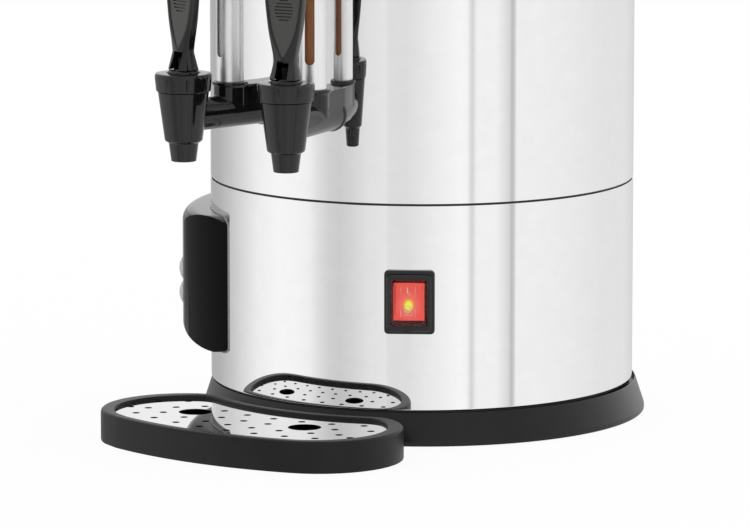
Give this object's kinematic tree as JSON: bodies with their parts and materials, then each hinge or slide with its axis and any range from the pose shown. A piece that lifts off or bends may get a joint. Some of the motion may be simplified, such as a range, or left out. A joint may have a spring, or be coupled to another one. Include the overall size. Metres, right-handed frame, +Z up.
{
  "type": "hot drinks urn",
  "caption": "Round polished hot drinks urn with lever taps, level gauges, lit rocker switch, side control panel, lift-off lid and a curved drip tray with a perforated plate.",
  "frame": {"origin": "on the ground at the axis of the round body", "axes": "+Z up, -Y to the front between the two taps, +X to the right seen from the front"},
  "size_m": [0.354, 0.3695, 0.5314],
  "materials": {
    "polished_steel": "polished stainless steel, mirror finish",
    "sheet_steel": "plain stainless and zinc-plated sheet",
    "gloss_black": "gloss black moulded plastic",
    "matte_black": "fine-grained matte black plastic",
    "rubber_black": "matte",
    "silicone": "translucent food-grade silicone",
    "felt": "compressed glass-fibre felt",
    "heater_metal": "cast aluminium and steel tube",
    "phenolic": "dark phenolic moulding",
    "ceramic": "pale ceramic-filled moulding",
    "pale_plastic": "pale nylon",
    "circuit_green": "lacquered circuit board",
    "wire_red": "silicone-covered wire",
    "clear_hood": "clear flexible splash hood",
    "rocker_red": "translucent red, lit from inside",
    "button_grey": "light grey dome",
    "brass": "turned brass",
    "glass": "clear borosilicate tube"
  },
  "bodies": {
    "urn": {"foot_ring": "rubber_black", "base_ring": "matte_black", "bottom_plate": "sheet_steel", "base_screws": "sheet_steel", "lower_shell": "polished_steel", "deck_plate": "phenolic", "upper_shell": "polished_steel", "top_collar": "polished_steel", "left_tank": "sheet_steel", "right_tank": "sheet_steel", "insulation": "felt", "heaters": "heater_metal", "thermostats": "phenolic", "thermal_cutouts": "ceramic", "terminal_block": "pale_plastic", "control_board": "circuit_green", "wiring": "wire_red", "switch_bezel": "gloss_black", "switch_hood": "clear_hood", "switch_body": "phenolic", "power_inlet": "matte_black", "panel_screws": "sheet_steel", "control_housing": "gloss_black", "button_board": "circuit_green", "left_carry_handle": "gloss_black", "right_carry_handle": "gloss_black", "handle_screws": "sheet_steel", "gauge_caps": "gloss_black", "gauge_seals": "silicone", "shank_nuts": "brass", "shank_seals": "silicone", "left_tap_body": "gloss_black", "left_tap_bonnet": "gloss_black", "left_tap_spring": "sheet_steel", "left_gauge_fitting": "gloss_black", "left_gauge_glass": "glass", "left_gauge_shield": "polished_steel", "right_tap_body": "gloss_black", "right_tap_bonnet": "gloss_black", "right_tap_spring": "sheet_steel", "right_gauge_fitting": "gloss_black", "right_gauge_glass": "glass", "right_gauge_shield": "polished_steel"},
    "lid": {"lid": "polished_steel", "lid_seal": "silicone", "lid_knob": "gloss_black", "knob_screw": "sheet_steel"},
    "tray": {"drip_tray": "matte_black"},
    "grid": {"drip_grid": "polished_steel"},
    "rocker": {"switch_rocker": "rocker_red"},
    "upper_button": {"upper_button": "button_grey"},
    "lower_button": {"lower_button": "button_grey"},
    "left_valve": {"left_tap_stem": "sheet_steel", "left_seat_cup": "silicone", "left_lever_pin": "polished_steel"},
    "left_lever": {"left_tap_lever": "gloss_black"},
    "right_valve": {"right_tap_stem": "sheet_steel", "right_seat_cup": "silicone", "right_lever_pin": "polished_steel"},
    "right_lever": {"right_tap_lever": "gloss_black"}
  },
  "joints": [
    {"name": "lid_lift", "type": "slide", "parent": "urn", "child": "lid", "axis": [0, 0, 1], "range_m": [0, 0.06]},
    {"name": "tray_pull", "type": "slide", "parent": "urn", "child": "tray", "axis": [0, -1, 0], "range_m": [0, 0.12]},
    {"name": "grid_lift", "type": "slide", "parent": "tray", "child": "grid", "axis": [0, 0, 1], "range_m": [0, 0.03]},
    {"name": "rocker_switch", "type": "hinge", "parent": "urn", "child": "rocker", "pos_m": [0.06881, -0.10555, 0.0876], "axis": [0.8377, 0.5461, 0], "range_deg": [0, 16]},
    {"name": "upper_button_press", "type": "slide", "parent": "urn", "child": "upper_button", "axis": [0.766, 0.6428, 0], "range_m": [0, 0.0015], "stiffness_N_per_m": 400, "springref_m": -0.001},
    {"name": "lower_button_press", "type": "slide", "parent": "urn", "child": "lower_button", "axis": [0.766, 0.6428, 0], "range_m": [0, 0.0015], "stiffness_N_per_m": 400, "springref_m": -0.001},
    {"name": "left_valve_lift", "type": "slide", "parent": "urn", "child": "left_valve", "axis": [0, 0, 1], "range_m": [0, 0.00387], "deforming": ["left_tap_spring"]},
    {"name": "left_lever_tilt", "type": "hinge", "parent": "left_valve", "child": "left_lever", "pos_m": [-0.03861, -0.18808, 0.2332], "axis": [0.9796, -0.2011, 0], "range_deg": [0, 30], "stiffness_Nm_per_rad": 0.15, "springref_deg": -20.05},
    {"name": "right_valve_lift", "type": "slide", "parent": "urn", "child": "right_valve", "axis": [0, 0, 1], "range_m": [0, 0.00387], "deforming": ["right_tap_spring"]},
    {"name": "right_lever_tilt", "type": "hinge", "parent": "right_valve", "child": "right_lever", "pos_m": [0.03861, -0.18808, 0.2332], "axis": [0.9796, 0.2011, 0], "range_deg": [0, 30], "stiffness_Nm_per_rad": 0.15, "springref_deg": -20.05}
  ],
  "couplings": [
    {"joint": "left_lever_tilt", "follows": "left_valve_lift", "rad_per_m": 135},
    {"joint": "right_lever_tilt", "follows": "right_valve_lift", "rad_per_m": 135}
  ]
}
